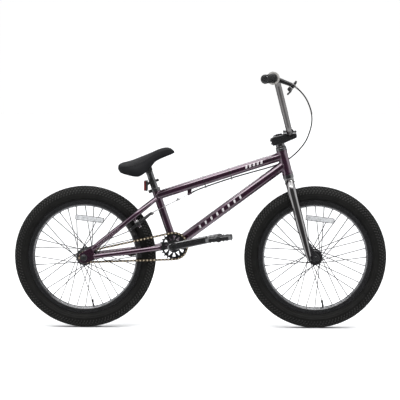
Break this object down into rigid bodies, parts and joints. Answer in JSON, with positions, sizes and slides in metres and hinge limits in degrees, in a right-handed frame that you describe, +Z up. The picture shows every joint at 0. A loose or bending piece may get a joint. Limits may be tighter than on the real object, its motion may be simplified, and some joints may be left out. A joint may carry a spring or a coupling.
{
  "type": "bmx bicycle",
  "caption": "Freestyle bicycle with small wheels, high handlebar, single chain drive, rear rim brake worked by a cable, platform pedals and a pivoting saddle.",
  "frame": {"origin": "on the ground, midway between the two axles, at the bottom centre of the bounding box", "axes": "+X forward, +Y to the rider's left, +Z up"},
  "size_m": [1.3632, 0.7146, 0.9368],
  "materials": {
    "frame_paint": "dark translucent purple over metal, glossy clear coat",
    "gunmetal": "dark grey metallic, glossy",
    "black_metal": "satin black",
    "bright_steel": "plated, bright",
    "chain_steel": "oiled brownish steel",
    "tyre_rubber": "matt black rubber with block tread",
    "grip_rubber": "matt black ribbed rubber",
    "black_nylon": "moulded black nylon",
    "saddle_cloth": "dark grey padded cover",
    "red_lens": "red reflector lens",
    "pad_rubber": "black brake compound",
    "housing": "black lined cable housing"
  },
  "bodies": {
    "frame": {"head_tube": "frame_paint", "top_tube": "frame_paint", "down_tube": "frame_paint", "seat_tube": "frame_paint", "bottom_bracket_shell": "frame_paint", "chainstay_right": "frame_paint", "chainstay_left": "frame_paint", "seatstay_right": "frame_paint", "seatstay_left": "frame_paint", "seat_clamp": "black_metal", "headset_cup_upper": "black_metal", "headset_cup_lower": "black_metal", "bottom_bracket_bearing_right": "bright_steel", "bottom_bracket_bearing_left": "bright_steel", "rear_axle": "bright_steel", "rear_axle_nut_right": "bright_steel", "rear_axle_nut_left": "bright_steel", "chain": "chain_steel", "brake_housing": "housing"},
    "cable_yoke": {"cable_yoke": "bright_steel"},
    "steering": {"fork": "gunmetal", "front_axle": "bright_steel", "front_axle_nut_right": "bright_steel", "front_axle_nut_left": "bright_steel", "headset_cover": "black_metal", "stem": "black_metal", "stem_cap": "black_metal", "handlebar": "gunmetal", "grip_right": "grip_rubber", "grip_left": "grip_rubber", "brake_lever_bracket": "black_metal"},
    "brake_lever": {"brake_lever": "black_metal"},
    "front_wheel": {"front_tyre": "tyre_rubber", "front_rim": "black_metal", "front_hub": "black_metal", "front_spokes_right": "black_metal", "front_spokes_left": "black_metal"},
    "rear_wheel": {"rear_tyre": "tyre_rubber", "rear_rim": "black_metal", "rear_hub": "black_metal", "rear_spokes_right": "black_metal", "rear_spokes_left": "black_metal"},
    "driver": {"rear_driver": "bright_steel"},
    "crank": {"crank_spindle": "bright_steel", "crank_arm_right": "black_metal", "crank_arm_left": "black_metal", "sprocket": "black_metal", "pedal_axle_right": "bright_steel", "pedal_axle_left": "bright_steel"},
    "pedal_right": {"pedal_right": "black_nylon"},
    "pedal_left": {"pedal_left": "black_nylon"},
    "seat_post": {"seat_post": "black_metal", "rear_reflector": "red_lens", "reflector_bracket": "black_nylon"},
    "saddle": {"saddle_base": "black_nylon", "saddle_cover": "saddle_cloth"},
    "brake_arm_right": {"brake_arm_right": "black_metal", "brake_pad_right": "pad_rubber"},
    "brake_arm_left": {"brake_arm_left": "black_metal", "brake_pad_left": "pad_rubber"}
  },
  "joints": [
    {"name": "steering", "type": "hinge", "parent": "frame", "child": "steering", "pos_m": [0.4003, 0, 0.25449], "axis": [-0.2504, 0, 0.9681], "range_deg": [-60, 60], "deforming": ["brake_housing"]},
    {"name": "front_wheel_spin", "type": "hinge", "parent": "steering", "child": "front_wheel", "pos_m": [0.4216, 0, 0.26], "axis": [0, 1, 0], "continuous": true},
    {"name": "rear_wheel_spin", "type": "hinge", "parent": "frame", "child": "rear_wheel", "pos_m": [-0.4216, 0, 0.26], "axis": [0, 1, 0], "continuous": true},
    {"name": "crank_spin", "type": "hinge", "parent": "frame", "child": "crank", "pos_m": [-0.0935, 0, 0.302], "axis": [0, 1, 0], "continuous": true},
    {"name": "driver_spin", "type": "hinge", "parent": "frame", "child": "driver", "pos_m": [-0.4216, 0, 0.26], "axis": [0, 1, 0], "continuous": true},
    {"name": "pedal_right_spin", "type": "hinge", "parent": "crank", "child": "pedal_right", "pos_m": [0.07247, 0, 0.3388], "axis": [0, 1, 0], "continuous": true},
    {"name": "pedal_left_spin", "type": "hinge", "parent": "crank", "child": "pedal_left", "pos_m": [-0.25947, 0, 0.26521], "axis": [0, 1, 0], "continuous": true},
    {"name": "brake_lever_pull", "type": "hinge", "parent": "steering", "child": "brake_lever", "pos_m": [0.33, -0.193, 0.88], "axis": [-0.6188, 0, -0.7855], "range_deg": [0, 12], "stiffness_Nm_per_rad": 0.5, "springref_deg": -17.19},
    {"name": "brake_arm_right_turn", "type": "hinge", "parent": "frame", "child": "brake_arm_right", "pos_m": [-0.22442, -0.044, 0.38311], "axis": [0.6211, 0, -0.7837], "range_deg": [0, 3.2]},
    {"name": "brake_arm_left_turn", "type": "hinge", "parent": "frame", "child": "brake_arm_left", "pos_m": [-0.22442, 0.044, 0.38311], "axis": [-0.6211, 0, 0.7837], "range_deg": [0, 3.2]},
    {"name": "cable_yoke_slide", "type": "slide", "parent": "frame", "child": "cable_yoke", "axis": [0.8865, 0, 0.4627], "range_m": [0, 0.0032]},
    {"name": "seat_post_slide", "type": "slide", "parent": "frame", "child": "seat_post", "axis": [-0.3256, 0, 0.9455], "range_m": [0, 0.05]},
    {"name": "saddle_tilt", "type": "hinge", "parent": "seat_post", "child": "saddle", "pos_m": [-0.18889, 0, 0.57904], "axis": [0, 1, 0], "range_deg": [-8, 8]}
  ],
  "couplings": [
    {"joint": "driver_spin", "follows": "crank_spin", "ratio": 2.6667},
    {"joint": "brake_arm_right_turn", "follows": "brake_lever_pull", "ratio": 0.25},
    {"joint": "brake_arm_left_turn", "follows": "brake_lever_pull", "ratio": 0.25},
    {"joint": "cable_yoke_slide", "follows": "brake_lever_pull", "m_per_rad": 0.01432}
  ]
}
